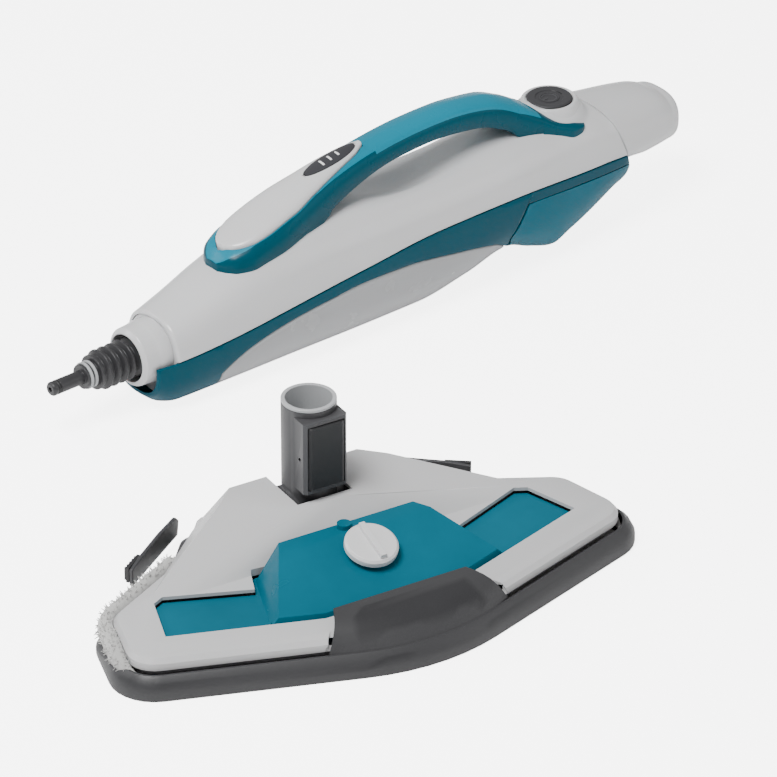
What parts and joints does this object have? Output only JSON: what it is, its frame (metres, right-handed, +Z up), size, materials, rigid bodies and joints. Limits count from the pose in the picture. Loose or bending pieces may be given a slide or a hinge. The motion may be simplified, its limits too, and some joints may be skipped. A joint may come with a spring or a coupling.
{
  "type": "steam mop",
  "caption": "Steam mop in two parts: a hand-held steam unit with an arched handle and clear tank, and a wing-shaped floor head with a folding neck and detergent tank.",
  "frame": {"origin": "on the floor, under the middle of the neck's hinge, at the glider's middle slat", "axes": "+Z up from the floor, the head's nose towards -Y, +X to the head's left as seen by the user standing behind it facing the nose"},
  "size_m": [0.6274, 0.4622, 0.131],
  "materials": {
    "charcoal_plastic": "fine satin texture",
    "latch_plastic": "satin",
    "black_plastic": "matte",
    "pad_fabric": "looped microfibre",
    "sole_plastic": "matte",
    "manifold_plastic": "matte",
    "screw_steel": "zinc plated",
    "white_gloss": "gloss",
    "trigger_white": "gloss",
    "cap_white": "semi-gloss",
    "tank_teal": "translucent, gloss",
    "seal_rubber": "matte",
    "neck_plastic": "satin",
    "ring_grey": "semi-gloss",
    "nozzle_plastic": "satin",
    "band_teal": "gloss",
    "hull_grey": "gloss",
    "handle_teal": "gloss",
    "level_dark": "semi-gloss",
    "button_grey": "satin",
    "gland_rubber": "matte",
    "boiler_metal": "cast",
    "inner_plastic": "matte",
    "pump_plastic": "matte",
    "hose_silicone": "translucent",
    "pipe_brass": "drawn",
    "board_green": "solder resist"
  },
  "bodies": {
    "head": {"glider_frame": "charcoal_plastic", "microfibre_pad": "pad_fabric", "sole_plate": "sole_plastic", "steam_manifold": "manifold_plastic", "sole_screws": "screw_steel", "head_cover": "white_gloss", "bearing_left": "sole_plastic", "bearing_right": "sole_plastic", "neck_pin": "screw_steel"},
    "latch_left": {"glider_latch_left": "latch_plastic", "latch_tab_left": "black_plastic"},
    "latch_right": {"glider_latch_right": "latch_plastic", "latch_tab_right": "black_plastic"},
    "detergent_tank": {"detergent_tank": "tank_teal", "cap_seal": "seal_rubber"},
    "tank_cap": {"tank_cap": "cap_white"},
    "neck": {"neck_tube": "neck_plastic", "neck_liner": "ring_grey", "neck_steam_pipe": "ring_grey", "neck_latch_spring": "screw_steel"},
    "neck_latch": {"neck_latch": "black_plastic"},
    "hand_unit": {"steam_nozzle": "nozzle_plastic", "nozzle_rings": "ring_grey", "nozzle_oring": "seal_rubber", "nozzle_collar": "white_gloss", "nose_plate": "white_gloss", "upper_housing": "white_gloss", "side_band": "band_teal", "lower_hull": "hull_grey", "handle": "handle_teal", "trigger_spring": "screw_steel", "trigger_switch": "pump_plastic", "power_bezel": "white_gloss", "power_spring": "screw_steel", "power_switch": "pump_plastic", "end_cap": "white_gloss", "cord_gland": "gland_rubber", "boiler": "boiler_metal", "boiler_clamps": "boiler_metal", "thermostat": "inner_plastic", "pump": "pump_plastic", "water_hose": "hose_silicone", "steam_pipe": "pipe_brass", "circuit_board": "board_green", "terminal_block": "inner_plastic", "housing_screws": "screw_steel"},
    "steam_trigger": {"steam_trigger": "trigger_white"},
    "level_button": {"level_button": "level_dark"},
    "power_button": {"power_button": "button_grey", "power_ring": "button_grey"},
    "water_tank": {"water_tank": "tank_teal", "tank_plug": "seal_rubber", "tank_valve": "ring_grey"}
  },
  "joints": [
    {"name": "latch_left_flex", "type": "hinge", "parent": "head", "child": "latch_left", "pos_m": [-0.067, 0.047, 0.0058], "axis": [-0.8087, -0.5882, 0], "range_deg": [-22, 0], "stiffness_Nm_per_rad": 0.35},
    {"name": "latch_right_flex", "type": "hinge", "parent": "head", "child": "latch_right", "pos_m": [0.067, 0.047, 0.0058], "axis": [0.8087, -0.5882, 0], "range_deg": [0, 22], "stiffness_Nm_per_rad": 0.35},
    {"name": "detergent_tank_lift", "type": "slide", "parent": "head", "child": "detergent_tank", "axis": [0, 0, 1], "range_m": [0, 0.06]},
    {"name": "tank_cap_turn", "type": "hinge", "parent": "detergent_tank", "child": "tank_cap", "pos_m": [0, -0.074, 0.03617], "axis": [0, -0.3081, 0.9513], "range_deg": [0, 90]},
    {"name": "neck_fold", "type": "hinge", "parent": "head", "child": "neck", "pos_m": [0, 0, 0.036], "axis": [-1, 0, 0], "range_deg": [0, 60]},
    {"name": "neck_latch_press", "type": "slide", "parent": "neck", "child": "neck_latch", "axis": [0, 1, 0], "range_m": [0, 0.002], "stiffness_N_per_m": 600, "deforming": ["neck_latch_spring"]},
    {"name": "hand_unit_lift", "type": "slide", "parent": "head", "child": "hand_unit", "axis": [0, 0, 1], "range_m": [0, 0.25]},
    {"name": "steam_trigger_press", "type": "hinge", "parent": "hand_unit", "child": "steam_trigger", "pos_m": [0.17754, 0.24014, 0.124], "axis": [-0.1633, 0.9866, 0], "range_deg": [-1.3, 0], "stiffness_Nm_per_rad": 8, "deforming": ["trigger_spring"]},
    {"name": "level_button_press", "type": "slide", "parent": "steam_trigger", "child": "level_button", "axis": [0, 0, -1], "range_m": [0, 0.0005], "stiffness_N_per_m": 800},
    {"name": "power_button_press", "type": "slide", "parent": "hand_unit", "child": "power_button", "axis": [0, 0, -1], "range_m": [0, 0.002], "stiffness_N_per_m": 500, "deforming": ["power_spring"]},
    {"name": "water_tank_release", "type": "slide", "parent": "hand_unit", "child": "water_tank", "axis": [0.296, 0.049, -0.9539], "range_m": [0, 0.06]}
  ]
}
